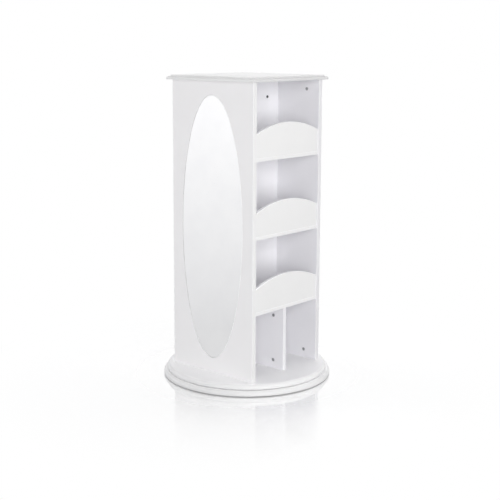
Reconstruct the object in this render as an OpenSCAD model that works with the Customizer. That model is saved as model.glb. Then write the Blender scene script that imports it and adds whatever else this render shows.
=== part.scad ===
// Revolving wardrobe cabinet: a square carcass of lacquered boards that turns
// on a round base. Origin on the floor at the centre of the base, +Z up.
// The oval mirror faces -Y, the shelves face +X, the hanging bay faces -X.

/* [Overall] */
// Height from the floor to the top surface
overall_h = 1066.8; // [950:1:1200]
// Diameter of the base disc
base_d = 596.9; // [575:1:680]
// Width and depth of the square carcass
body_w = 370; // [356:1:384]

/* [Boards] */
// Thickness of the two outer side panels
panel_t = 18; // [17:0.5:21]
// Thickness of the partition and of the cubby divider
core_t = 16; // [15:0.5:19]
// Thickness of the shelves
shelf_t = 12; // [12:0.5:16]
// Thickness of the top board
top_t = 16; // [15.5:0.5:22]
// Thickness of each of the two round discs
disc_t = 18; // [17:0.5:24]
// Radius of the eased edges of the boards
edge_r = 1.5; // [0.5:0.25:3]

/* [Top moulding] */
// How far the top board stands out past the carcass
top_overhang = 15; // [12.5:0.5:24]
// Height of the upright lip under the moulding
lip_h = 5; // [4:0.5:6]
// Radius of the rounded lower half of the moulding
ovolo_r = 5.5; // [4:0.25:5.5]
// Radius of the hollow upper half of the moulding
cove_r = 5; // [3:0.25:5]

/* [Base] */
// Height of the glides under the base disc
glide_h = 2; // [1.5:0.25:4]
// Diameter of a glide
glide_d = 30; // [20:1:40]
// Number of glides
glide_count = 8; // [6:1:12]
// Distance from the rim of the base disc to the centre of a glide
glide_inset = 34; // [30:1:60]
// Running gap between the base disc and the turntable disc
disc_gap = 1; // [0.8:0.1:2]
// How much smaller the turntable disc's radius is than the base disc's
disc_step = 13.5; // [12.5:0.5:20]
// Radius of the rounded upper rim of both discs
rim_r = 12; // [8:0.5:13]
// Radius of the eased lower rim of both discs
rim_low_r = 2.5; // [1:0.25:3]

/* [Bearing] */
// Radius of the circle that the balls run on
race_r = 125; // [110:1:140]
// Diameter of a ball
ball_d = 6; // [5:0.25:6]
// Number of balls
ball_count = 24; // [12:1:36]
// Radial width of each bearing ring
ring_w = 14; // [13:0.5:18]
// Height of each bearing ring
ring_h = 8; // [7.5:0.25:9]
// Gap between the two bearing rings
ring_split = 2; // [1.8:0.1:2.4]
// Depth of the bearing's recess in each disc
recess_depth = 4; // [3.9:0.1:4.5]
// Number of screws in each bearing ring
ring_screws = 4; // [3:1:6]
// Bore in the base disc for reaching the inner ring's screws
access_d = 12; // [10:0.5:14]
// Height of the ball cage
cage_h = 8.2; // [7.8:0.1:8.2]
// Wall of the ball cage
cage_t = 1; // [0.8:0.05:1.2]

/* [Shelves] */
// Clear height of the cubbies under the lower shelf
cubby_h = 226; // [200:1:240]
// Clear height between the lower and the middle shelf
lower_bay_h = 247; // [220:1:260]
// Clear height between the middle and the upper shelf
middle_bay_h = 252; // [220:1:265]
// Distance from the front of the carcass back to the shelf edges
shelf_setback = 4; // [2:0.5:8]
// Distance from the front of the carcass back to the divider
divider_setback = 10; // [6:0.5:20]
// Thickness of the arched aprons
apron_t = 12; // [12:0.5:15]
// Distance from the front of the carcass back to the aprons
apron_setback = 5; // [3.5:0.5:9]
// Height of an apron above its shelf at the ends
apron_end_h = 78; // [75:0.5:100]
// Rise of an apron's arc between its ends and its middle
apron_rise = 34.5; // [15:0.5:40]

/* [Mirror] */
// Distance from the sides of the panel to the mirror
mirror_side = 46.5; // [40:0.5:70]
// Distance from the top and bottom of the panel to the mirror, before it is raised
mirror_ends = 50; // [40:1:90]
// How far the mirror's middle lies above the middle of its panel
mirror_raise = 2.5; // [0:0.5:5]
// Thickness of the mirror
mirror_t = 3; // [2:0.25:3.5]
// Width of the mirror's polished bevel
mirror_bevel = 1.2; // [0.5:0.1:2]
// Thickness of the adhesive pads behind the mirror
pad_t = 0.8; // [0.5:0.1:1]
// Width of an adhesive pad
pad_w = 70; // [40:1:90]
// Height of an adhesive pad
pad_h = 24; // [15:1:30]
// Number of adhesive pads
pad_count = 5; // [3:1:6]
// Distance between the centres of neighbouring pads
pad_pitch = 165; // [120:1:170]

/* [Pegs] */
// Number of coat pegs in the hanging bay
peg_count = 3; // [1:1:3]
// Distance between neighbouring pegs
peg_pitch = 106; // [80:1:115]
// Distance from the top board down to the pegs
peg_drop = 64; // [58:1:120]
// Length of a peg
peg_len = 58; // [45:1:80]
// Diameter of a peg's head
peg_head_d = 30; // [24:0.5:36]
// Diameter of a peg's stem
peg_stem_d = 15; // [13:0.5:18]
// Diameter of a peg's collar
peg_collar_d = 24; // [20:0.5:28]
// Diameter of the bolt that holds a peg
peg_bolt_d = 4; // [3:0.5:5]
// Diameter of the peg bolt's head
peg_bolt_head_d = 10; // [8:0.5:12]
// Height of the peg bolt's head
peg_bolt_head_h = 2; // [1.5:0.25:2.5]
// How deep the peg bolt reaches into a peg
peg_bolt_grip = 20; // [15:0.5:25]

/* [Fittings] */
// Diameter of the cam locks
cam_d = 12; // [11:0.25:14]
// How far a cam lock reaches past the axis of its bolt
cam_past = 3.5; // [3.25:0.25:3.75]
// Diameter of the cam bolts
cam_bolt_d = 5; // [4.5:0.25:5]
// Distance from a board's upper end to its cam locks
cam_back = 34; // [30:0.5:38]
// Distance from a board's foot to its cam locks
cam_foot = 30; // [26:0.5:36]
// Distance from a shelf's end to its cam locks
cam_shelf_back = 24; // [20:0.5:30]
// How deep the cam bolts reach into panels, top and turntable
bolt_grip = 11; // [9:0.5:12]
// How deep the divider's bolt reaches into the lower shelf
shelf_grip = 8; // [7:0.5:9]
// Distance from the front and back of the carcass to the panels' cam locks
cam_inset = 55; // [40:1:80]
// Distance from the middle to the partition's cam locks
partition_cam_y = 60; // [45:1:75]
// Distance from the partition's foot to its lower sideways cam locks
side_cam_low = 291; // [250:1:330]
// Distance from the partition's foot to its upper sideways cam locks
side_cam_high = 700; // [560:1:735]
// Distance of a shelf's back cam locks from the partition
shelf_cam_back_x = 40; // [30:1:55]
// Distance of a shelf's front cam locks from the carcass front
shelf_cam_front = 45; // [40:1:60]
// Diameter of the wooden dowels in the thick boards
dowel_d = 8; // [6:0.5:8]
// Diameter of the wooden dowels in the shelves and aprons
thin_dowel_d = 6; // [5:0.5:6]
// How deep a dowel reaches into the face that it meets
dowel_face = 10; // [8:0.5:11]
// How deep a dowel reaches into the end of its board
dowel_end = 20; // [14:0.5:24]
// Distance from the middle to the panels' dowels
panel_dowel_x = 70; // [60:1:85]
// Distance from the middle to the partition's dowels
partition_dowel_y = 100; // [85:1:105]
// Distance from the middle to the dowels at the back of a shelf
shelf_dowel_y = 80; // [60:1:100]
// Height of the aprons' end dowels above the shelf
apron_dowel_z = 45; // [30:1:60]
// Distance from the middle to the apron screws
apron_screw_y = 110; // [80:1:130]
// Diameter of the wood screws
screw_d = 3.5; // [3:0.25:3.5]
// Diameter of the wood screws' heads
screw_head_d = 7; // [6:0.25:7.5]
// How deep a screw reaches into an apron
apron_screw_grip = 20; // [15:0.5:30]
// Depth of wood that is left past a bearing screw's tip
screw_skin = 3; // [2:0.5:5]

/* [Clearances] */
// Gap round a fitting in its bore
bore_gap = 0.15; // [0.1:0.05:0.2]
// Gap past the end of a fitting in its bore
end_gap = 0.3; // [0.2:0.05:0.5]
// Gap between a ball and its races or its cage
ball_gap = 0.3; // [0.2:0.05:0.4]
// Gap round the mirror in its recess
mirror_gap = 0.8; // [0.5:0.1:1]
// How far the mirror's face lies under the face of its panel
mirror_sink = 0.2; // [0:0.1:0.4]

/* [Hidden] */

$fn = 96;
// Facets of the long flat arcs, and of the small fittings
arc_fn = 240;
small_fn = 32;
// How far a cutting shape runs past the face that it cuts
over = 1;

lacquer = [0.93, 0.93, 0.94];
zinc = [0.55, 0.55, 0.57];
steel = [0.70, 0.71, 0.73];
aluminium = [0.80, 0.81, 0.83];
beech = [0.80, 0.66, 0.46];
nylon = [0.20, 0.20, 0.21];
felt = [0.35, 0.33, 0.31];
foam = [0.25, 0.25, 0.26];
mirror_tone = [0.86, 0.88, 0.90];

base_r = base_d / 2;
turntable_r = base_r - disc_step;
half = body_w / 2;
inner = half - panel_t;
panel_mid = half - panel_t / 2;

base_z = glide_h;
base_top = base_z + disc_t;
turn_z = base_top + disc_gap;
floor_z = turn_z + disc_t;
ceiling_z = overall_h - top_t;
carcass_h = ceiling_z - floor_z;

// The partition's face towards the shelves lies on the turning axis
core_mid_x = -core_t / 2;
shelf_front = half - shelf_setback;
apron_front = half - apron_setback;
apron_mid_x = apron_front - apron_t / 2;
divider_front = half - divider_setback;

lower_z = floor_z + cubby_h;
middle_z = lower_z + shelf_t + lower_bay_h;
upper_z = middle_z + shelf_t + middle_bay_h;
shelf_zs = [lower_z, middle_z, upper_z];

mirror_a = half - mirror_side;
mirror_b = carcass_h / 2 - mirror_ends;
mirror_z = floor_z + carcass_h / 2 + mirror_raise;
mirror_recess = mirror_sink + mirror_t + pad_t;
peg_z = ceiling_z - peg_drop;

recess_z = base_top - recess_depth;
recess_top = turn_z + recess_depth;
ball_z = (recess_z + recess_top) / 2;
groove_r = ball_d / 2 + ball_gap;
recess_in = race_r - ring_split / 2 - ring_w - 2 * over;
recess_out = race_r + ring_split / 2 + ring_w + 2 * over;
outer_screw_r = race_r + ring_split / 2 + (groove_r - ring_split / 2 + ring_w) / 2;
inner_screw_r = race_r - ring_split / 2 - (groove_r - ring_split / 2 + ring_w) / 2;

cam_x = half - cam_inset;
shelf_cam_xs = [shelf_cam_back_x, half - shelf_cam_front];
shelf_dowel_x = (shelf_cam_xs[0] + shelf_cam_xs[1]) / 2;
divider_dowel_x = cam_x / 2;
sides = [-1, 1];

// Turns that aim a fitting: its +Z goes into the board that it meets, and its
// +X points out of the face that its cam lock shows in
up_from_y = function(s) [0, 0, -90 * s];
down_from_y = function(s) [180, 0, -90 * s];
up_from_back = [0, 0, 180];
down_from_back = [180, 0, 180];
sideways_from_back = function(s) [-90 * s, 180, 0];
sideways_from_below = function(s) [-90 * s, 90, 0];
into_back = [0, -90, 0];

// A cam joint: place, turn, distance back to the cam, board thickness, grip
top_cams = concat(
    [for (s = sides, x = sides)
        [[x * cam_x, s * panel_mid, ceiling_z], up_from_y(s), cam_back, panel_t, bolt_grip]],
    [for (s = sides)
        [[core_mid_x, s * partition_cam_y, ceiling_z], up_from_back, cam_back, core_t, bolt_grip]]);
foot_cams = concat(
    [for (s = sides, x = sides)
        [[x * cam_x, s * panel_mid, floor_z], down_from_y(s), cam_foot, panel_t, bolt_grip]],
    [for (s = sides)
        [[core_mid_x, s * partition_cam_y, floor_z], down_from_back, cam_foot, core_t, bolt_grip]],
    [[[cam_x, 0, floor_z], down_from_y(1), cam_foot, core_t, bolt_grip]]);
side_cams = [for (s = sides, z = [side_cam_low, side_cam_high])
    [[core_mid_x, s * inner, floor_z + z], sideways_from_back(s), cam_back, core_t, bolt_grip]];
divider_top_cam = [[cam_x, 0, lower_z], up_from_y(1), cam_back, core_t, shelf_grip];
function shelf_cams(z) = [for (s = sides, x = shelf_cam_xs)
    [[x, s * inner, z + shelf_t / 2], sideways_from_below(s), cam_shelf_back, shelf_t, bolt_grip]];

// A dowel joint: place, turn, diameter
top_dowels = concat(
    [for (s = sides, x = sides) [[x * panel_dowel_x, s * panel_mid, ceiling_z], up_from_y(s), dowel_d]],
    [for (s = sides) [[core_mid_x, s * partition_dowel_y, ceiling_z], up_from_back, dowel_d]]);
foot_dowels = concat(
    [for (s = sides, x = sides) [[x * panel_dowel_x, s * panel_mid, floor_z], down_from_y(s), dowel_d]],
    [for (s = sides) [[core_mid_x, s * partition_dowel_y, floor_z], down_from_back, dowel_d]],
    [[[divider_dowel_x, 0, floor_z], down_from_y(1), dowel_d]]);
function shelf_end_dowels(z) = [for (s = sides)
    [[shelf_dowel_x, s * inner, z + shelf_t / 2], sideways_from_below(s), thin_dowel_d]];
function shelf_back_dowels(z) = [for (s = sides)
    [[0, s * shelf_dowel_y, z + shelf_t / 2], into_back, thin_dowel_d]];
function apron_dowels(z) = [for (s = sides)
    [[apron_mid_x, s * inner, z + shelf_t + apron_dowel_z], sideways_from_below(s), thin_dowel_d]];

module place(joint) {
    translate(joint[0]) rotate(joint[1]) children();
}

// Cam locks and their bolts
module cam_lock(joint) {
    depth = joint[3] / 2 + cam_past;
    place(joint) translate([joint[3] / 2 - depth, 0, -joint[2]]) rotate([0, 90, 0]) difference() {
        cylinder(d = cam_d, h = depth, $fn = small_fn);
        for (a = [0, 90]) rotate([0, 0, a + 45])
            translate([-cam_d / 3, -cam_d / 16, depth - cam_d / 8])
                cube([cam_d / 1.5, cam_d / 8, cam_d / 8 + over]);
        translate([0, 0, cam_past]) rotate([0, -90, 0]) translate([0, 0, -cam_bolt_d / 2 - end_gap])
            cylinder(d = cam_bolt_d + 4 * bore_gap, h = cam_d, $fn = small_fn);
    }
}

module cam_bolt(joint) {
    neck = 0.8 * cam_bolt_d;
    place(joint) {
        cylinder(d = cam_bolt_d, h = joint[4] - end_gap, $fn = small_fn);
        translate([0, 0, -joint[2]]) cylinder(d = neck, h = joint[2], $fn = small_fn);
        translate([0, 0, -joint[2] - cam_bolt_d / 2]) cylinder(d = cam_bolt_d, h = cam_bolt_d / 2, $fn = small_fn);
    }
}

module cam_bores(joint) {
    depth = joint[3] / 2 + cam_past + end_gap;
    place(joint) {
        translate([joint[3] / 2 - depth, 0, -joint[2]]) rotate([0, 90, 0])
            cylinder(d = cam_d + 2 * bore_gap, h = depth + over, $fn = small_fn);
        translate([0, 0, -joint[2]])
            cylinder(d = cam_bolt_d + 2 * bore_gap, h = joint[2] + over, $fn = small_fn);
    }
}

module bolt_bore(joint) {
    place(joint) translate([0, 0, -over])
        cylinder(d = cam_bolt_d + 2 * bore_gap, h = joint[4] + over, $fn = small_fn);
}

// Dowels
module dowel(joint) {
    place(joint) translate([0, 0, end_gap - dowel_end])
        cylinder(d = joint[2], h = dowel_end + dowel_face - 2 * end_gap, $fn = small_fn);
}

module dowel_bore(joint) {
    place(joint) translate([0, 0, -dowel_end])
        cylinder(d = joint[2] + 2 * bore_gap, h = dowel_end + dowel_face, $fn = small_fn);
}

// A countersunk wood screw with its head's face at the origin, pointing up
module screw(length) {
    head_h = (screw_head_d - screw_d) / 2;
    difference() {
        union() {
            cylinder(d1 = screw_head_d, d2 = screw_d, h = head_h, $fn = small_fn);
            cylinder(d = screw_d, h = length, $fn = small_fn);
        }
        for (a = [0, 90]) rotate([0, 0, a])
            translate([-screw_head_d / 4, -screw_head_d / 16, -over])
                cube([screw_head_d / 2, screw_head_d / 8, over + head_h / 2]);
    }
}

module screw_bore(length) {
    head_h = (screw_head_d - screw_d) / 2;
    translate([0, 0, -over]) cylinder(d = screw_head_d + 2 * bore_gap, h = over, $fn = small_fn);
    cylinder(d1 = screw_head_d + 2 * bore_gap, d2 = screw_d + 2 * bore_gap, h = head_h, $fn = small_fn);
    cylinder(d = screw_d + 2 * bore_gap, h = length + end_gap, $fn = small_fn);
}

// Board outlines with eased corners
module eased_square(size, r) {
    translate([r, 0]) square([size[0] - 2 * r, size[1]]);
    translate([0, r]) square([size[0], size[1] - 2 * r]);
    for (x = [r, size[0] - r], y = [r, size[1] - r]) translate([x, y]) circle(r, $fn = small_fn);
}

module disc_profile(r) {
    square([r - rim_r, disc_t]);
    translate([0, rim_low_r]) square([r, disc_t - rim_r - rim_low_r]);
    square([r - rim_low_r, disc_t - rim_r]);
    translate([r - rim_r, disc_t - rim_r]) intersection() {
        circle(rim_r);
        square(rim_r + over);
    }
    translate([r - rim_low_r, rim_low_r]) circle(rim_low_r, $fn = small_fn);
}

module annulus(r_in, r_out, h) {
    difference() {
        cylinder(r = r_out, h = h, $fn = arc_fn);
        translate([0, 0, -over]) cylinder(r = r_in, h = h + 2 * over, $fn = arc_fn);
    }
}

module round_the_axis(count, r, turn = 0) {
    for (i = [0 : count - 1]) rotate([0, 0, turn + 360 * i / count]) translate([r, 0, 0]) children();
}

// Fixed base
module base_disc() {
    color(lacquer) difference() {
        translate([0, 0, base_z]) rotate_extrude($fn = arc_fn) disc_profile(base_r);
        translate([0, 0, recess_z]) annulus(recess_in, recess_out, recess_depth + over);
        outer_screw_places() screw_bore(outer_screw_len());
        rotate([0, 0, screw_turn()]) translate([inner_screw_r, 0, base_z - over])
            cylinder(d = access_d, h = disc_t + 2 * over, $fn = small_fn);
    }
}

module base_glides() {
    color(felt) round_the_axis(glide_count, base_r - glide_inset)
        cylinder(d = glide_d, h = glide_h, $fn = small_fn);
}

// Ball bearing between the discs: the outer ring is screwed to the base, the
// inner ring to the turntable
function screw_turn() = 180 / ring_screws;
function outer_screw_len() = recess_z + ring_h - base_z - screw_skin;
function inner_screw_len() = floor_z - screw_skin - (recess_top - ring_h);

module outer_screw_places() {
    round_the_axis(ring_screws, outer_screw_r, screw_turn())
        translate([0, 0, recess_z + ring_h]) rotate([180, 0, 0]) children();
}

module inner_screw_places() {
    round_the_axis(ring_screws, inner_screw_r, screw_turn())
        translate([0, 0, recess_top - ring_h]) children();
}

module race_groove() {
    rotate_extrude($fn = arc_fn) translate([race_r, ball_z]) circle(groove_r, $fn = small_fn);
}

module bearing_outer_ring() {
    r_in = race_r + ring_split / 2;
    color(aluminium) difference() {
        translate([0, 0, recess_z]) annulus(r_in, r_in + ring_w, ring_h);
        race_groove();
        outer_screw_places() screw_bore(outer_screw_len());
    }
}

module bearing_inner_ring() {
    r_out = race_r - ring_split / 2;
    color(aluminium) difference() {
        translate([0, 0, recess_top - ring_h]) annulus(r_out - ring_w, r_out, ring_h);
        race_groove();
        inner_screw_places() screw_bore(inner_screw_len());
    }
}

module bearing_outer_screws() {
    color(steel) outer_screw_places() screw(outer_screw_len());
}

module bearing_inner_screws() {
    color(steel) inner_screw_places() screw(inner_screw_len());
}

module bearing_balls() {
    color(steel) round_the_axis(ball_count, race_r) translate([0, 0, ball_z])
        sphere(d = ball_d, $fn = small_fn);
}

module ball_cage() {
    color(nylon) difference() {
        translate([0, 0, ball_z - cage_h / 2])
            annulus(race_r - cage_t / 2, race_r + cage_t / 2, cage_h);
        round_the_axis(ball_count, race_r) translate([-ball_d, 0, ball_z]) rotate([0, 90, 0])
            cylinder(d = ball_d + 2 * ball_gap, h = 2 * ball_d, $fn = small_fn);
    }
}

// Turning carcass
module turntable_disc() {
    color(lacquer) difference() {
        translate([0, 0, turn_z]) rotate_extrude($fn = arc_fn) disc_profile(turntable_r);
        translate([0, 0, turn_z - over]) annulus(recess_in, recess_out, recess_depth + over);
        inner_screw_places() screw_bore(inner_screw_len());
        for (j = foot_cams) bolt_bore(j);
        for (j = foot_dowels) dowel_bore(j);
    }
}

module top_profile() {
    outer = half + top_overhang;
    shoulder = outer - ovolo_r;
    flat = shoulder - cove_r;
    ovolo_top = lip_h + ovolo_r;
    translate([-outer, edge_r]) square([2 * outer, lip_h - edge_r]);
    translate([edge_r - outer, 0]) square([2 * (outer - edge_r), lip_h]);
    translate([-shoulder, 0]) square([2 * shoulder, ovolo_top]);
    translate([-flat, 0]) square([2 * flat, top_t]);
    for (s = sides) scale([s, 1]) {
        translate([outer - edge_r, edge_r]) circle(edge_r, $fn = small_fn);
        translate([shoulder, lip_h]) intersection() {
            circle(ovolo_r);
            square(ovolo_r + over);
        }
        translate([flat, ovolo_top]) difference() {
            square(cove_r);
            translate([cove_r, cove_r]) circle(cove_r);
        }
    }
}

module top_bar() {
    reach = half + top_overhang + over;
    rotate([90, 0, 0]) linear_extrude(height = 2 * reach, center = true) top_profile();
}

module top_board() {
    color(lacquer) difference() {
        translate([0, 0, ceiling_z]) intersection() {
            top_bar();
            rotate([0, 0, 90]) top_bar();
        }
        for (j = top_cams) bolt_bore(j);
        for (j = top_dowels) dowel_bore(j);
    }
}

// A side panel with its outer face towards s * Y
module side_blank(s) {
    difference() {
        translate([-half, s * panel_mid - panel_t / 2, floor_z])
            linear_extrude(height = carcass_h) eased_square([body_w, panel_t], edge_r);
        for (j = concat(top_cams, foot_cams)) if (j[0][1] == s * panel_mid) cam_bores(j);
        for (j = concat(top_dowels, foot_dowels)) if (j[0][1] == s * panel_mid) dowel_bore(j);
        for (j = side_cams) if (j[0][1] == s * inner) bolt_bore(j);
        for (z = shelf_zs) {
            for (j = shelf_cams(z)) if (j[0][1] == s * inner) bolt_bore(j);
            for (j = concat(shelf_end_dowels(z), apron_dowels(z))) if (j[0][1] == s * inner) dowel_bore(j);
        }
    }
}

module side_panel() {
    color(lacquer) side_blank(1);
}

function oval(a, b, n = 144) = [for (i = [0 : n - 1]) [a * cos(360 * i / n), b * sin(360 * i / n)]];

module facing_front(y) {
    translate([0, y, mirror_z]) rotate([90, 0, 0]) children();
}

module mirror_panel() {
    color(lacquer) difference() {
        side_blank(-1);
        facing_front(mirror_recess - half) linear_extrude(height = mirror_recess + over)
            polygon(oval(mirror_a + mirror_gap, mirror_b + mirror_gap));
    }
}

module oval_mirror() {
    color(mirror_tone) facing_front(mirror_sink + mirror_t - half) {
        linear_extrude(height = mirror_t - mirror_bevel) polygon(oval(mirror_a, mirror_b));
        translate([0, 0, mirror_t - mirror_bevel]) linear_extrude(height = mirror_bevel, slices = 1,
            scale = [1 - mirror_bevel / mirror_a, 1 - mirror_bevel / mirror_b])
            polygon(oval(mirror_a, mirror_b));
    }
}

module mirror_pads() {
    color(foam) facing_front(mirror_recess - half)
        for (i = [0 : pad_count - 1])
            translate([-pad_w / 2, pad_pitch * (i - (pad_count - 1) / 2) - pad_h / 2, 0])
                cube([pad_w, pad_h, pad_t]);
}

module partition() {
    color(lacquer) difference() {
        translate([-core_t, -inner, floor_z]) cube([core_t, 2 * inner, carcass_h]);
        for (j = concat(top_cams, foot_cams, side_cams)) if (j[0][0] == core_mid_x) cam_bores(j);
        for (j = concat(top_dowels, foot_dowels)) if (j[0][0] == core_mid_x) dowel_bore(j);
        for (z = shelf_zs, j = shelf_back_dowels(z)) dowel_bore(j);
        peg_places() translate([0, 0, -over])
            cylinder(d = peg_bolt_d + 2 * bore_gap, h = core_t + 2 * over, $fn = small_fn);
    }
}

module shelf_board(z) {
    color(lacquer) difference() {
        translate([0, inner, z]) rotate([90, 0, 0]) linear_extrude(height = 2 * inner) {
            eased_square([shelf_front, shelf_t], edge_r);
            square([shelf_front / 2, shelf_t]);
        }
        for (j = shelf_cams(z)) cam_bores(j);
        for (j = concat(shelf_end_dowels(z), shelf_back_dowels(z))) dowel_bore(j);
        apron_screw_places(z) screw_bore(shelf_t + apron_screw_grip);
        if (z == lower_z) bolt_bore(divider_top_cam);
    }
}

module apron_screw_places(z) {
    for (s = sides) translate([apron_mid_x, s * apron_screw_y, z]) children();
}

// An apron is cut from a large disc with an eased rim, whose rim is its arc
module apron(z) {
    foot = z + shelf_t;
    peak = foot + apron_end_h + apron_rise;
    r = (inner * inner + apron_rise * apron_rise) / (2 * apron_rise);
    color(lacquer) difference() {
        intersection() {
            translate([apron_front - apron_t, 0, peak - r]) rotate([0, 90, 0])
                rotate_extrude($fn = arc_fn) {
                    square([r - edge_r, apron_t]);
                    translate([0, edge_r]) square([r, apron_t - 2 * edge_r]);
                    for (y = [edge_r, apron_t - edge_r])
                        translate([r - edge_r, y]) circle(edge_r, $fn = small_fn);
                }
            translate([apron_front - apron_t - over, -inner, foot])
                cube([apron_t + 2 * over, 2 * inner, peak - foot + over]);
        }
        for (j = apron_dowels(z)) dowel_bore(j);
        apron_screw_places(z) screw_bore(shelf_t + apron_screw_grip);
    }
}

module upper_shelf() { shelf_board(upper_z); }
module middle_shelf() { shelf_board(middle_z); }
module lower_shelf() { shelf_board(lower_z); }
module upper_apron() { apron(upper_z); }
module middle_apron() { apron(middle_z); }
module lower_apron() { apron(lower_z); }

module cubby_divider() {
    color(lacquer) difference() {
        translate([0, -core_t / 2, floor_z]) linear_extrude(height = cubby_h) {
            eased_square([divider_front, core_t], edge_r);
            square([divider_front / 2, core_t]);
        }
        for (j = foot_cams) if (j[0][1] == 0) cam_bores(j);
        for (j = foot_dowels) if (j[0][1] == 0) dowel_bore(j);
        cam_bores(divider_top_cam);
    }
}

// Coat pegs in the hanging bay, each held by a bolt through the partition
module peg_places() {
    for (i = [0 : peg_count - 1])
        translate([0, peg_pitch * (i - (peg_count - 1) / 2), peg_z]) rotate([0, -90, 0]) children();
}

module coat_pegs() {
    collar_h = peg_collar_d / 5;
    head_h = 0.45 * peg_head_d;
    head_round = 0.45 * head_h;
    color(lacquer) peg_places() translate([0, 0, core_t]) difference() {
        rotate_extrude() {
            translate([0, 0]) square([peg_collar_d / 2, collar_h / 2]);
            translate([0, collar_h / 2]) intersection() {
                translate([peg_collar_d / 2 - collar_h / 2, 0]) circle(collar_h / 2, $fn = small_fn);
                square([peg_collar_d, collar_h]);
            }
            square([peg_collar_d / 2 - collar_h / 2, collar_h]);
            square([peg_stem_d / 2, peg_len - head_h / 2]);
            translate([0, peg_len - head_h]) {
                square([peg_head_d / 2 - head_round, head_h]);
                translate([0, head_round]) square([peg_head_d / 2, head_h - 2 * head_round]);
                for (y = [head_round, head_h - head_round])
                    translate([peg_head_d / 2 - head_round, y]) circle(head_round);
            }
        }
        translate([0, 0, -over])
            cylinder(d = peg_bolt_d + 2 * bore_gap, h = peg_bolt_grip + over, $fn = small_fn);
    }
}

module peg_bolts() {
    color(zinc) peg_places() {
        cylinder(d = peg_bolt_d, h = core_t + peg_bolt_grip - end_gap, $fn = small_fn);
        translate([0, 0, -peg_bolt_head_h]) difference() {
            cylinder(d = peg_bolt_head_d, h = peg_bolt_head_h, $fn = small_fn);
            for (a = [0, 90]) rotate([0, 0, a])
                translate([-peg_bolt_head_d / 4, -peg_bolt_head_d / 20, -over])
                    cube([peg_bolt_head_d / 2, peg_bolt_head_d / 10, over + peg_bolt_head_h / 2]);
        }
    }
}

// Groups of fittings
module panel_cam_locks() {
    color(zinc) for (j = concat(top_cams, foot_cams, side_cams, [divider_top_cam])) cam_lock(j);
}

module panel_cam_bolts() {
    color(steel) for (j = concat(top_cams, foot_cams, side_cams, [divider_top_cam])) cam_bolt(j);
}

module shelf_cam_locks() {
    color(zinc) for (z = shelf_zs, j = shelf_cams(z)) cam_lock(j);
}

module shelf_cam_bolts() {
    color(steel) for (z = shelf_zs, j = shelf_cams(z)) cam_bolt(j);
}

module panel_dowels() {
    color(beech) for (j = concat(top_dowels, foot_dowels)) dowel(j);
}

module shelf_dowels() {
    color(beech) for (z = shelf_zs)
        for (j = concat(shelf_end_dowels(z), shelf_back_dowels(z), apron_dowels(z))) dowel(j);
}

module apron_screws() {
    color(steel) for (z = shelf_zs) apron_screw_places(z) screw(shelf_t + apron_screw_grip);
}

base_disc();
base_glides();
bearing_outer_ring();
bearing_outer_screws();
bearing_balls();
ball_cage();
bearing_inner_ring();
bearing_inner_screws();
turntable_disc();
mirror_panel();
oval_mirror();
mirror_pads();
side_panel();
partition();
upper_shelf();
middle_shelf();
lower_shelf();
upper_apron();
middle_apron();
lower_apron();
cubby_divider();
top_board();
coat_pegs();
peg_bolts();
panel_cam_locks();
panel_cam_bolts();
shelf_cam_locks();
shelf_cam_bolts();
panel_dowels();
shelf_dowels();
apron_screws();
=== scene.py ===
"""Looks of the revolving wardrobe cabinet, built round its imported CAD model. Lengths are in metres."""

import math

import bmesh
import bpy
from mathutils import Euler, Matrix, Vector


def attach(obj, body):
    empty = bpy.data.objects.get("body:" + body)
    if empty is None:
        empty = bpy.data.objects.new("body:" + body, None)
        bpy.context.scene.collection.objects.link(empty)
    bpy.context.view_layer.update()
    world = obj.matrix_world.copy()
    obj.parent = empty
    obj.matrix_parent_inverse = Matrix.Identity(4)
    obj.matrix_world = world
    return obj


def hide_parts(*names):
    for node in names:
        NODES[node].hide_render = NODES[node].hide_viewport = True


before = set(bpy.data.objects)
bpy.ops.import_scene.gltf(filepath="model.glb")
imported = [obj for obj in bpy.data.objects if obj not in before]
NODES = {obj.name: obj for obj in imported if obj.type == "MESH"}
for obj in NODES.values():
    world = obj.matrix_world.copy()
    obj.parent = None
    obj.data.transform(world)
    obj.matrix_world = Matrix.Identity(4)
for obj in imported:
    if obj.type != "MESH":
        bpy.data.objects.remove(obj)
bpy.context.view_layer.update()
WHITE = (1, 1, 1, 1)

# The camera at the photograph's angle. It is pitched a little and its lens is shifted a little, where the
# photograph's camera is level and its lens is shifted far. The lens and the sensor are in millimetres, the
# shift is in shares of the picture, and the range is the nearest and the farthest that the camera sees
CAMERA_AZIMUTH = math.radians(40.884)
CAMERA_DISTANCE = 3.7248
CAMERA_HEIGHT = 1.1907
CAMERA_PITCH = math.radians(9.157)
CAMERA_ROLL = math.radians(0.222)
CAMERA_LENS = 76.583
CAMERA_SHIFT = (0.0053, -0.08)
CAMERA_RANGE = (0.05, 100.0)
SENSOR = 36.0

# The faces of a board that may take a tone of their own, as painted light and shade by the way they are
# turned: the axis that they are turned to, its sign, and the shares of their normal along it at which the
# tone begins and is full. The front rim takes in the curved faces beside the front. One more name is rim,
# for all the faces but the level ones
NEARLY = (0.85, 0.95)
PARTLY = (0.25, 0.35)
SHADED_FACES = {
    "front": ("X", 1.0, NEARLY),
    "front_rim": ("X", 1.0, PARTLY),
    "left": ("Y", 1.0, NEARLY),
    "right": ("Y", -1.0, NEARLY),
}

# The scales of the lacquer's noises, from slow mottling to orange peel
MOTTLE_SCALE = 6.0
WAVE_SCALE = 22.0
SHEEN_SCALE = 35.0
PEEL_SCALE = 420.0

# The tone of the side boards' inner faces, darker and bluer as painted shade inside the bays, the two tones
# of the mirror's silver and the tone of its edge
INSIDE_SHADE = (0.835, 0.829, 0.860)
SILVER_DULL = (0.90, 0.90, 0.915)
SILVER_CLEAR = (0.935, 0.935, 0.945)
MIRROR_EDGE = (0.95, 0.95, 0.96)

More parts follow.
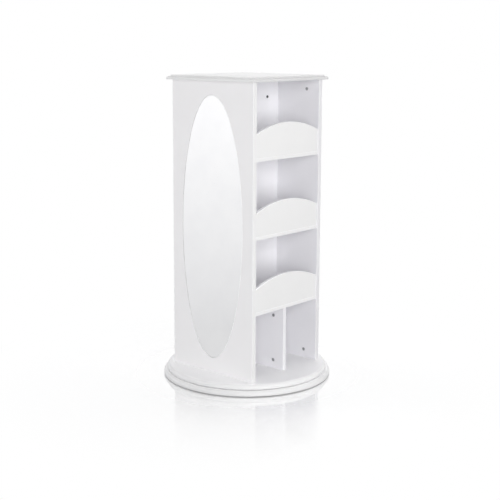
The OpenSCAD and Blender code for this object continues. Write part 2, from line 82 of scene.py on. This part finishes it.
# Facets round a fitting and along each turn of its thread, how sharp the thread's ridge is, how many flutes
# a dowel has, and the angle from which an edge stays sharp
SIDES = 16
TURN_STEPS = 5
RIDGE_SHARPNESS = 3.2
FLUTES = 14
SHARP_EDGE = math.radians(40)

# The distance under which two points of the model are one, and as many decimals as it takes
WELD = 1e-5
WELD_DECIMALS = 5

# How far the cam bolts reach into the next board, and the dowels' radii
CAM_BOLT_GRIP = 0.0107
PANEL_DOWEL_RADIUS = 0.004
SHELF_DOWEL_RADIUS = 0.003

# The floor's size, the tone of the share that takes shadows, the tone of the light it returns, and roughness
FLOOR_RADIUS = 30.0
FLOOR_SEGMENTS = 64
FLOOR_SHADE = (0.36, 0.36, 0.365, 1)
FLOOR_BOUNCE = (0.62, 0.62, 0.63, 1)
FLOOR_ROUGHNESS = 0.08

# What changes across the floor, as two levels and the distances from the turning axis where they hold: its
# own white, which drops under and just round the base as a painted contact shadow, its gloss, how bright it
# looks in mirrors, darker near the cabinet as painted shade, and how plain white it is
FLOOR_GLOW_AND_CONTACT_SHADE = (0.08, 0.66, 0.290, 0.303)
FLOOR_GLOSS = (0.70, 0.0, 0.30, 0.92)
FLOOR_MIRRORED_SHADE = (0.78, 1.08, 0.85, 13.0)
FLOOR_WHITE = (0.0, 1.0, 0.42, 0.98)

# The even light of the studio, and its flags, which are seen only in gloss. Each pair says where a flag ends
# and where it is full, as degrees beside its azimuth or as the height of a ray of length 1. Its level is its
# brightness where it is full
WORLD_LIGHT = 0.30
WORLD_TONE = (0.99, 0.99, 1.0, 1)
FLAGS = [
    {
        "azimuth": 180 + math.degrees(CAMERA_AZIMUTH),
        "sides": [(10.0, 16.0), (46.0, 38.0)],
        "heights": [(0.80, 0.60), (0.30, 0.40)],
        "level": 0.05,
    },
    {
        "azimuth": -math.degrees(CAMERA_AZIMUTH),
        "sides": [(24.0, 12.0)],
        "heights": [(0.62, 0.40)],
        "level": 0.80,
    },
]

# The soft boxes: name, azimuth and elevation in degrees, level, height above the floor where it isn't the
# elevation's, and tone
PLAIN = (1, 1, 1)
WARM = (1, 1, 0.99)
LAMP_SIZE = 3.0
LAMP_DISTANCE = 5.0
LAMP_TARGET = Vector((0, 0, 0.6))
LAMPS = [
    ("key", 50, 4, 0.594, 1.35, WARM),
    ("side", -70, 4, 0.532, 1.55, PLAIN),
    ("back", 180, 40, 0.250, None, PLAIN),
    ("back_right", 140, 40, 0.130, None, PLAIN),
    ("behind", 220, 4, 0.280, 1.55, PLAIN),
    ("shelf_side", 80, 4, 0.220, 1.55, WARM),
    ("top", 0, 89, 0.082, None, PLAIN),
]


# Nodes

def plug(tree, socket, value):
    """Links an output to an input, or sets the input to a number, a vector or a colour."""
    if isinstance(value, bpy.types.NodeSocket):
        tree.links.new(value, socket)
    elif socket.type == "RGBA" and len(value) == 3:
        socket.default_value = (*value, 1.0)
    else:
        socket.default_value = value


def add(tree, kind, **sockets):
    """A new node with some of its inputs plugged."""
    node = tree.nodes.new("ShaderNode" + kind)
    for key, value in sockets.items():
        plug(tree, node.inputs[key.replace("_", " ")], value)
    return node


def coords(tree, kind):
    return add(tree, "TexCoord").outputs[kind]


def noise(tree, vector, scale, detail=2.0, roughness=0.5):
    node = add(tree, "TexNoise", Vector=vector, Scale=scale, Detail=detail, Roughness=roughness)
    return node.outputs["Fac"]


def remap(tree, value, low, high, start=0.3, end=0.7):
    """Low where the value is at start, high where it is at end, and even between."""
    node = add(tree, "MapRange", Value=value, From_Min=start, From_Max=end, To_Min=low, To_Max=high)
    return node.outputs["Result"]


def blend_colors(tree, factor, first, second):
    node = tree.nodes.new("ShaderNodeMix")
    node.data_type = "RGBA"
    colors = [socket for socket in node.inputs if socket.type == "RGBA"]
    plug(tree, next(socket for socket in node.inputs if socket.type == "VALUE" and socket.enabled), factor)
    plug(tree, colors[0], first)
    plug(tree, colors[1], second)
    return next(socket for socket in node.outputs if socket.type == "RGBA")


def math_node(tree, operation, first, second=0.0):
    node = tree.nodes.new("ShaderNodeMath")
    node.operation = operation
    plug(tree, node.inputs[0], first)
    plug(tree, node.inputs[1], second)
    return node.outputs[0]


def vector_math(tree, operation, first, second=None, scale=None):
    node = tree.nodes.new("ShaderNodeVectorMath")
    node.operation = operation
    plug(tree, node.inputs[0], first)
    if second is not None:
        plug(tree, node.inputs[1], second)
    if scale is not None:
        plug(tree, node.inputs["Scale"], scale)
    return node.outputs["Value" if operation in ("LENGTH", "DOT_PRODUCT") else "Vector"]


def bump(tree, shader, height, strength, distance, below=None):
    """Relief on a shader, over the relief below where there is one."""
    node = add(tree, "Bump", Height=height, Strength=strength, Distance=distance)
    if below is not None:
        plug(tree, node.inputs["Normal"], below)
    plug(tree, shader.inputs["Normal"], node.outputs["Normal"])
    return node.outputs["Normal"]


def mix_shaders(tree, factor, first, second):
    node = add(tree, "MixShader", Fac=factor)
    plug(tree, node.inputs[1], first)
    plug(tree, node.inputs[2], second)
    return node.outputs[0]


def painted_face_mask(tree, face):
    """The mask of a painted light and shade: 1 on a board's named faces and 0 on the others."""
    split = add(tree, "SeparateXYZ", Vector=coords(tree, "Normal"))
    if face == "rim":
        return remap(tree, math_node(tree, "ABSOLUTE", split.outputs["Z"]), 1.0, 0.0, *NEARLY)
    axis, sign, limits = SHADED_FACES[face]
    return remap(tree, math_node(tree, "MULTIPLY", split.outputs[axis], sign), 0.0, 1.0, *limits)


# Materials

def new_material(name):
    material = bpy.data.materials.new(name)
    material.use_nodes = True
    tree = material.node_tree
    return material, tree, next(node for node in tree.nodes if node.type == "BSDF_PRINCIPLED")


def lacquer(name, tone, seed, **faces):
    """Sprayed white lacquer on fibreboard: faint mottling and orange peel, with painted light and shade
    as the tones of some faces.
    """
    material, tree, shader = new_material(name)
    place = add(tree, "Mapping", Vector=coords(tree, "Object"), Location=(seed, 2 * seed, -seed))
    vector = place.outputs["Vector"]
    coat_and_shade = tone
    # The named faces' tones over the board's tone: painted light and shade
    for face, face_shade in faces.items():
        coat_and_shade = blend_colors(tree, painted_face_mask(tree, face), coat_and_shade, face_shade)
    mottle = remap(tree, noise(tree, vector, MOTTLE_SCALE, detail=4.0), low=0.982, high=1.012)
    plug(tree, shader.inputs["Base Color"], vector_math(tree, "SCALE", coat_and_shade, scale=mottle))
    sheen = remap(tree, noise(tree, vector, SHEEN_SCALE, detail=3.0), low=0.30, high=0.42)
    plug(tree, shader.inputs["Roughness"], sheen)
    wave = bump(tree, shader, noise(tree, vector, WAVE_SCALE), strength=0.03, distance=0.002)
    bump(tree, shader, noise(tree, vector, PEEL_SCALE), strength=0.06, distance=0.0004, below=wave)
    shader.inputs["IOR"].default_value = 1.46
    shader.inputs["Coat Weight"].default_value = 0.12
    shader.inputs["Coat Roughness"].default_value = 0.18
    return material


def turned_coords(tree):
    """Coordinates by distance from the turning axis and height, so that grain runs round the axis."""
    split = add(tree, "SeparateXYZ", Vector=coords(tree, "Object"))
    flat = add(tree, "CombineXYZ", X=split.outputs["X"], Y=split.outputs["Y"])
    across = vector_math(tree, "LENGTH", flat.outputs["Vector"])
    return add(tree, "CombineXYZ", X=across, Z=split.outputs["Z"]).outputs["Vector"]


def metal(name, tone, roughness, scale, turned=False):
    """Metal with fine cast grain, or with grain turned round the cabinet's axis."""
    material, tree, shader = new_material(name)
    grain = noise(tree, turned_coords(tree) if turned else coords(tree, "Object"), scale, detail=4.0)
    dull = tuple(0.82 * channel for channel in tone)
    plug(tree, shader.inputs["Base Color"], blend_colors(tree, remap(tree, grain, 0.0, 1.0), dull, tone))
    plug(tree, shader.inputs["Roughness"], remap(tree, grain, low=0.75 * roughness, high=1.3 * roughness))
    shader.inputs["Metallic"].default_value = 1.0
    bump(tree, shader, grain, strength=0.15, distance=0.0002)
    return material


def fibrous(name, tone, dark, scale, roughness, relief, stretch=(1, 1, 1)):
    """Wood, felt, foam or nylon: two tones along a stretched noise, with relief."""
    material, tree, shader = new_material(name)
    place = add(tree, "Mapping", Vector=coords(tree, "Object"), Scale=stretch)
    grain = noise(tree, place.outputs["Vector"], scale, detail=6.0, roughness=0.6)
    plug(tree, shader.inputs["Base Color"], blend_colors(tree, remap(tree, grain, 0.0, 1.0), dark, tone))
    plug(tree, shader.inputs["Roughness"], remap(tree, grain, low=roughness, high=0.85 * roughness))
    bump(tree, shader, grain, strength=relief, distance=0.0006)
    return material


def mirror_glass(name):
    """Silvered acrylic: a clean mirror with a very slow ripple, and a pale satin edge."""
    material, tree, shader = new_material(name)
    vector = coords(tree, "Object")
    haze = noise(tree, vector, scale=9.0, detail=3.0)
    split = add(tree, "SeparateXYZ", Vector=coords(tree, "Normal"))
    silver = remap(tree, math_node(tree, "ABSOLUTE", split.outputs["Y"]), 0.0, 1.0, start=0.97, end=0.99)
    tone = blend_colors(tree, remap(tree, haze, 0.0, 1.0), SILVER_DULL, SILVER_CLEAR)
    plug(tree, shader.inputs["Base Color"], blend_colors(tree, silver, MIRROR_EDGE, tone))
    satin = math_node(tree, "MULTIPLY", math_node(tree, "SUBTRACT", 1.0, silver), 0.45)
    polish = remap(tree, haze, low=0.012, high=0.03)
    plug(tree, shader.inputs["Roughness"], math_node(tree, "ADD", satin, polish))
    plug(tree, shader.inputs["Metallic"], silver)
    bump(tree, shader, noise(tree, vector, scale=3.0, detail=1.0), strength=0.02, distance=0.002)
    return material


def give(material, *names):
    for name in names:
        data = NODES[name].data
        data.materials.clear()
        data.materials.append(material)


# The lacquers: tone, seed, and the tones of single faces. The boards' tones differ from one another and
# single faces take tones of their own as painted light and shade: darker fronts and rims, darker and bluer
# inner faces, and aprons lighter than the other boards but for their fronts. The photograph is retouched,
# and its faces differ more in level than the light in a studio makes them
give(lacquer("lacquer_mirror_panel_painted_shade", (0.850, 0.843, 0.853), 1.3, front=(0.764, 0.760, 0.764), left=INSIDE_SHADE),
     "mirror_panel")
give(lacquer("lacquer_side_panel_painted_shade", (0.860, 0.854, 0.864), 2.1, front=(0.718, 0.713, 0.734), right=INSIDE_SHADE),
     "side_panel")
give(lacquer("lacquer_partition_painted_shade", (0.900, 0.896, 0.916), 2.9, front=(0.900, 0.895, 0.925)),
     "partition")
give(lacquer("lacquer_divider_painted_shade", (0.862, 0.857, 0.884), 3.3, front=(0.775, 0.771, 0.795)),
     "cubby_divider")
give(lacquer("lacquer_shelves_painted_shade", (0.900, 0.895, 0.910), 3.7, front=(0.775, 0.773, 0.777)),
     "upper_shelf", "middle_shelf", "lower_shelf")
give(lacquer("lacquer_aprons_painted_shade", (0.950, 0.945, 0.965), 4.9, front=(0.764, 0.762, 0.762)),
     "upper_apron", "middle_apron", "lower_apron")
give(lacquer("lacquer_top_painted_shade", (0.955, 0.953, 0.957), 5.3, rim=(0.790, 0.788, 0.793),
             front_rim=(0.640, 0.638, 0.643)),
     "top_board")
give(lacquer("lacquer_turntable_painted_shade", (0.915, 0.912, 0.923), 6.1, rim=(0.798, 0.796, 0.803)),
     "turntable_disc")
give(lacquer("lacquer_base_painted_shade", (0.900, 0.897, 0.905), 6.7, rim=(0.776, 0.774, 0.780)),
     "base_disc")
give(lacquer("lacquer_pegs", (0.88, 0.875, 0.89), 7.7), "coat_pegs")
give(mirror_glass("silvered_acrylic"), "oval_mirror")

ZINC = metal("zinc", (0.56, 0.56, 0.58), roughness=0.42, scale=900.0)
DARK_ZINC = metal("dark_zinc", (0.15, 0.15, 0.16), roughness=0.45, scale=900.0)
PLATED = metal("zinc_plate", (0.62, 0.63, 0.65), roughness=0.28, scale=1200.0)
BALL_STEEL = metal("ball_steel", (0.68, 0.69, 0.70), roughness=0.12, scale=300.0)
ALUMINIUM = metal("turned_aluminium", (0.74, 0.75, 0.77), roughness=0.30, scale=1600.0, turned=True)
give(ZINC, "panel_cam_locks", "shelf_cam_locks")
give(DARK_ZINC, "peg_bolts")
give(PLATED, "panel_cam_bolts", "shelf_cam_bolts", "bearing_outer_screws", "bearing_inner_screws",
     "apron_screws")
give(BALL_STEEL, "bearing_balls")
give(ALUMINIUM, "bearing_outer_ring", "bearing_inner_ring")

BEECH = fibrous("beech", (0.66, 0.45, 0.26), (0.52, 0.33, 0.17), scale=260.0, roughness=0.6, relief=0.25,
                stretch=(1, 1, 0.12))
FELT = fibrous("felt", (0.13, 0.12, 0.11), (0.07, 0.065, 0.06), scale=1500.0, roughness=0.95, relief=0.6)
FOAM = fibrous("foam_tape", (0.07, 0.07, 0.075), (0.04, 0.04, 0.045), scale=1800.0, roughness=0.9,
               relief=0.4)
NYLON = fibrous("nylon", (0.05, 0.05, 0.055), (0.035, 0.035, 0.04), scale=500.0, roughness=0.45, relief=0.1)
give(BEECH, "panel_dowels", "shelf_dowels")
give(FELT, "base_glides")
give(FOAM, "mirror_pads")
give(NYLON, "ball_cage")


# Fittings: turned, threaded and fluted pieces in the places of the plain CAD ones

def islands(name):
    """The points of each separate solid of a node, in the mesh's order."""
    bm = bmesh.new()
    bm.from_mesh(NODES[name].data)
    bmesh.ops.remove_doubles(bm, verts=bm.verts, dist=WELD)
    bm.verts.index_update()
    seen, groups = set(), []
    for start in bm.verts:
        if start.index in seen:
            continue
        seen.add(start.index)
        group, ahead = [], [start]
        while ahead:
            vert = ahead.pop()
            group.append(vert.co.copy())
            for other in [edge.other_vert(vert) for edge in vert.link_edges]:
                if other.index not in seen:
                    seen.add(other.index)
                    ahead.append(other)
        groups.append(group)
    bm.free()
    return groups


def aim(points):
    """A frame on a plain fitting, and its length: its origin on the headed end and its Z along the axis.
    The headed end is the one with the nearer step."""
    low = Vector([min(p[i] for p in points) for i in range(3)])
    high = Vector([max(p[i] for p in points) for i in range(3)])
    size = high - low
    way = max(range(3), key=lambda i: size[i])
    levels = sorted({round(p[way], WELD_DECIMALS) for p in points})
    upward = levels[1] - levels[0] <= levels[-1] - levels[-2]
    axis = Vector([0, 0, 0])
    axis[way] = 1.0 if upward else -1.0
    origin = (low + high) / 2
    origin[way] = low[way] if upward else high[way]
    return Matrix.Translation(origin) @ axis.to_track_quat("Z", "X").to_matrix().to_4x4(), size[way]


def skin(bm, place, rings):
    """Faces between rings of points, with both ends closed."""
    rows = [[bm.verts.new(place @ Vector(point)) for point in loop] for loop in rings]
    count = len(rows[0])
    for lower, upper in zip(rows, rows[1:]):
        for i in range(count):
            j = (i + 1) % count
            bm.faces.new((lower[i], lower[j], upper[j], upper[i]))
    bm.faces.new(list(reversed(rows[0])))
    bm.faces.new(rows[-1])


def ring(radius, z, count=SIDES):
    turn = 2 * math.pi / count
    return [(radius * math.cos(turn * i), radius * math.sin(turn * i), z) for i in range(count)]


def thread(start, end, core, crest, pitch, point=0.0, fade=1.0):
    """Rings of a threaded shank from start to end. Point is the length of its tapered tip, and fade the
    number of turns over which the ridge rises and falls at the ends."""
    blunt = 0.12
    steps = max(2, round((end - start) / pitch * TURN_STEPS))
    rings = []
    for k in range(steps + 1):
        z = start + (end - start) * k / steps
        ends = max(0.0, min(1.0, (z - start) / (fade * pitch), (end - z) / (fade * pitch)))
        tip = max(blunt, min(1.0, (end - z) / point)) if point else 1.0
        loop = []
        for x, y, _ in ring(1.0, 0.0):
            phase = (z / pitch - math.atan2(y, x) / (2 * math.pi)) % 1.0
            ridge = max(0.0, 1.0 - abs(phase - 0.5) * RIDGE_SHARPNESS) * ends
            radius = (core + (crest - core) * ridge) * tip
            loop.append((radius * x, radius * y, z))
        rings.append(loop)
    return rings


def recessed(radius, depth, width):
    """Rings from a cross recess's bottom out to a flat face of the given radius, at z = 0."""
    in_arm, foot, lip = 0.92, 0.55, 0.62
    bottom, mouth = [], []
    for x, y, _ in ring(1.0, 0.0):
        reach = radius if max(abs(x), abs(y)) > in_arm else width
        bottom.append((foot * reach * x, foot * reach * y, depth))
        mouth.append((lip * reach * x, lip * reach * y, 0.0))
    return [bottom, mouth, ring(radius, 0.0)]


def wood_screw(bm, place, length, head=0.0035, shank=0.00175, pitch=0.0016, point=0.005):
    """Countersunk, with a plain neck before the thread."""
    neck = head - shank
    plain = 0.30 * length
    slim = 0.84 * shank
    rings = recessed(head, depth=0.0009, width=0.0011)
    rings += [ring(head, 0.0002), ring(1.05 * shank, neck), ring(slim, neck + 0.0004), ring(slim, plain)]
    skin(bm, place, rings + thread(plain, length, 0.62 * shank, shank, pitch, point))


def cam_bolt(bm, place, length, grip, wide=0.0025, pitch=0.0018):
    """From the head that the cam holds, along the neck, to a threaded end in the next board."""
    neck = 0.8 * wide
    slim = 0.8 * neck
    joint = length - grip
    collar = joint + 0.0004
    rings = [ring(wide * math.sin(a), 0.9 * wide * (1 - math.cos(a))) for a in (0.35, 0.8, 1.25)]
    rings += [ring(wide, 0.0022), ring(slim, 0.0028), ring(slim, 0.0058), ring(neck, 0.0066)]
    rings += [ring(neck, joint - 0.0012), ring(wide, joint - 0.0010), ring(wide, collar)]
    skin(bm, place, rings + thread(collar, length, 0.66 * wide, wide, pitch, fade=0.6))


def machine_bolt(bm, place, length, head=0.005, height=0.002, shank=0.002, pitch=0.0010):
    """With a low domed head and a plain neck before the thread."""
    crown = 0.86 * head
    plain = 0.4 * length
    rings = recessed(crown, depth=0.0010, width=0.0014)
    rings += [ring(0.95 * head, 0.0004), ring(head, 0.0010), ring(head, height)]
    rings += [ring(shank, height), ring(shank, plain)]
    skin(bm, place, rings + thread(plain, length, 0.80 * shank, shank, pitch, fade=0.5))


def dowel(bm, place, length, radius):
    """Fluted, with chamfered ends."""
    flute_depth = 0.11
    end = [(0.0, 0.80, 0), (0.0012, 0.99, 0.3), (0.0022, 1.0, 1)]
    profile = end + [(length - z, scale, deep) for z, scale, deep in reversed(end)]
    rings = []
    for z, scale, deep in profile:
        loop = []
        for i, (x, y, _) in enumerate(ring(1.0, 0.0, 2 * FLUTES)):
            r = radius * scale * (1.0 - (flute_depth * deep if i % 2 else 0.0))
            loop.append((r * x, r * y, z))
        rings.append(loop)
    skin(bm, place, rings)


def fittings(node, body, slot, material, make, **sizes):
    """One piece with a detailed fitting in each place of the node's plain ones."""
    bm = bmesh.new()
    for points in islands(node):
        place, length = aim(points)
        make(bm, place, length, **sizes)
    mesh = bpy.data.meshes.new(node + "_detailed")
    bm.to_mesh(mesh)
    bm.free()
    mesh.materials.append(material)
    for polygon in mesh.polygons:
        polygon.use_smooth = True
    mesh.set_sharp_from_angle(angle=SHARP_EDGE)
    piece = bpy.data.objects.new(node + "_detailed", mesh)
    bpy.context.scene.collection.objects.link(piece)
    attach(piece, body)
    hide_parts(node)


fittings("bearing_outer_screws", "base", "steel", PLATED, wood_screw)
fittings("bearing_inner_screws", "cabinet", "steel", PLATED, wood_screw)
fittings("apron_screws", "cabinet", "steel", PLATED, wood_screw)
fittings("peg_bolts", "cabinet", "zinc", DARK_ZINC, machine_bolt)
fittings("panel_cam_bolts", "cabinet", "steel", PLATED, cam_bolt, grip=CAM_BOLT_GRIP)
fittings("shelf_cam_bolts", "cabinet", "steel", PLATED, cam_bolt, grip=CAM_BOLT_GRIP)
fittings("panel_dowels", "cabinet", "beech", BEECH, dowel, radius=PANEL_DOWEL_RADIUS)
fittings("shelf_dowels", "cabinet", "beech", BEECH, dowel, radius=SHELF_DOWEL_RADIUS)


# Floor

def log_distance(tree, low, high, start, end):
    """A value that goes from low to high with the logarithm of the distance from the turning axis."""
    away = vector_math(tree, "LENGTH", coords(tree, "Object"))
    return remap(tree, math_node(tree, "LOGARITHM", away, math.e), low, high, math.log(start), math.log(end))


def floor_material():
    """White to the camera, with the object's shadow and a reflection of it that fades with distance. Its
    white drops under the base as a painted contact shadow, and in gloss it is darker near the cabinet as
    painted shade.
    """
    material = bpy.data.materials.new("floor")
    material.use_nodes = True
    tree = material.node_tree
    tree.nodes.clear()
    path = add(tree, "LightPath")
    shade = add(tree, "BsdfDiffuse", Color=FLOOR_SHADE)
    # The floor's own white, dimmed under and just round the base as a painted contact shadow
    glow_and_contact_shade = add(tree, "Emission", Color=WHITE, Strength=log_distance(tree, *FLOOR_GLOW_AND_CONTACT_SHADE))
    lit = add(tree, "AddShader")
    plug(tree, lit.inputs[0], shade.outputs[0])
    plug(tree, lit.inputs[1], glow_and_contact_shade.outputs[0])
    gloss = add(tree, "BsdfGlossy", Color=WHITE, Roughness=FLOOR_ROUGHNESS)
    seen = mix_shaders(tree, log_distance(tree, *FLOOR_GLOSS), lit.outputs[0], gloss.outputs[0])
    white = add(tree, "Emission", Color=WHITE, Strength=1.0)
    paper = mix_shaders(tree, log_distance(tree, *FLOOR_WHITE), seen, white.outputs[0])
    diffuse = add(tree, "BsdfDiffuse", Color=FLOOR_BOUNCE)
    # How bright the floor looks in gloss, darker near the cabinet as painted shade
    mirrored_shade = add(tree, "Emission", Color=WHITE, Strength=log_distance(tree, *FLOOR_MIRRORED_SHADE))
    unseen = mix_shaders(tree, path.outputs["Is Glossy Ray"], diffuse.outputs[0], mirrored_shade.outputs[0])
    surface = mix_shaders(tree, path.outputs["Is Camera Ray"], unseen, paper)
    add(tree, "OutputMaterial", Surface=surface)
    return material


def make_floor():
    mesh = bpy.data.meshes.new("floor")
    mesh.from_pydata(ring(FLOOR_RADIUS, 0.0, FLOOR_SEGMENTS), [], [tuple(range(FLOOR_SEGMENTS))])
    mesh.materials.append(floor_material())
    floor = bpy.data.objects.new("floor", mesh)
    bpy.context.scene.collection.objects.link(floor)


# World, lamps and camera

def heading(azimuth, elevation=0.0):
    """The unit vector towards an azimuth, which is 0 at -Y and a quarter turn at +X, and an elevation."""
    level = math.cos(elevation)
    return Vector((math.sin(azimuth) * level, -math.cos(azimuth) * level, math.sin(elevation)))


def flags(tree):
    """1 where the studio is white, lower towards the flags."""
    split = add(tree, "SeparateXYZ", Vector=coords(tree, "Generated"))
    level = add(tree, "CombineXYZ", X=split.outputs["X"], Y=split.outputs["Y"])
    way = vector_math(tree, "NORMALIZE", level.outputs["Vector"])
    height = math_node(tree, "ABSOLUTE", split.outputs["Z"])
    light = 1.0
    for flag in FLAGS:
        towards = vector_math(tree, "DOT_PRODUCT", way, heading(math.radians(flag["azimuth"])))
        share = 1.0
        for limits in flag["heights"]:
            share = math_node(tree, "MULTIPLY", share, remap(tree, height, 0.0, 1.0, *limits))
        for angles in flag["sides"]:
            limits = [math.cos(math.radians(angle)) for angle in angles]
            share = math_node(tree, "MULTIPLY", share, remap(tree, towards, 0.0, 1.0, *limits))
        dimmed = remap(tree, share, 1.0, flag["level"], 0.0, 1.0)
        light = math_node(tree, "MULTIPLY", dimmed, light)
    return light


def make_world():
    """Even light on the object, white to the camera and through glass, and white with flags in gloss."""
    world = bpy.data.worlds.new("studio")
    bpy.context.scene.world = world
    world.use_nodes = True
    tree = world.node_tree
    tree.nodes.clear()
    path = add(tree, "LightPath")
    light = add(tree, "Background", Color=WORLD_TONE, Strength=WORLD_LIGHT)
    flagged = add(tree, "Background", Color=WHITE, Strength=flags(tree))
    white = add(tree, "Background", Color=WHITE, Strength=1.0)
    lit = mix_shaders(tree, path.outputs["Is Glossy Ray"], light.outputs[0], flagged.outputs[0])
    straight = math_node(tree, "MAXIMUM", path.outputs["Is Camera Ray"], path.outputs["Is Transmission Ray"])
    add(tree, "OutputWorld", Surface=mix_shaders(tree, straight, lit, white.outputs[0]))


def make_lamp(name, azimuth, elevation, level, height, tone):
    """A square soft box aimed at the object's middle; level is what it adds to a white face turned to it."""
    data = bpy.data.lights.new(name, "AREA")
    data.shape = "SQUARE"
    data.size = LAMP_SIZE
    data.energy = level * (math.pi * LAMP_DISTANCE) ** 2
    data.color = tone
    lamp = bpy.data.objects.new(name, data)
    lamp.visible_glossy = False
    lamp.location = LAMP_TARGET + heading(math.radians(azimuth), math.radians(elevation)) * LAMP_DISTANCE
    if height is not None:
        lamp.location.z = height
    lamp.rotation_euler = (LAMP_TARGET - lamp.location).to_track_quat("-Z", "Y").to_euler()
    bpy.context.scene.collection.objects.link(lamp)


def make_camera():
    data = bpy.data.cameras.new("camera")
    data.sensor_fit = "HORIZONTAL"
    data.sensor_width = SENSOR
    data.lens = CAMERA_LENS
    data.shift_x, data.shift_y = CAMERA_SHIFT
    data.clip_start, data.clip_end = CAMERA_RANGE
    camera = bpy.data.objects.new("camera", data)
    camera.location = heading(CAMERA_AZIMUTH) * CAMERA_DISTANCE
    camera.location.z = CAMERA_HEIGHT
    turn = Euler((0, 0, CAMERA_AZIMUTH)).to_matrix()
    rise = Euler((math.pi / 2 - CAMERA_PITCH, 0, 0)).to_matrix()
    roll = Euler((0, 0, CAMERA_ROLL)).to_matrix()
    camera.rotation_euler = (turn @ rise @ roll).to_euler()
    bpy.context.scene.collection.objects.link(camera)
    bpy.context.scene.camera = camera


make_floor()
make_world()
for lamp in LAMPS:
    make_lamp(*lamp)
make_camera()
bpy.context.scene.view_settings.view_transform = "Standard"
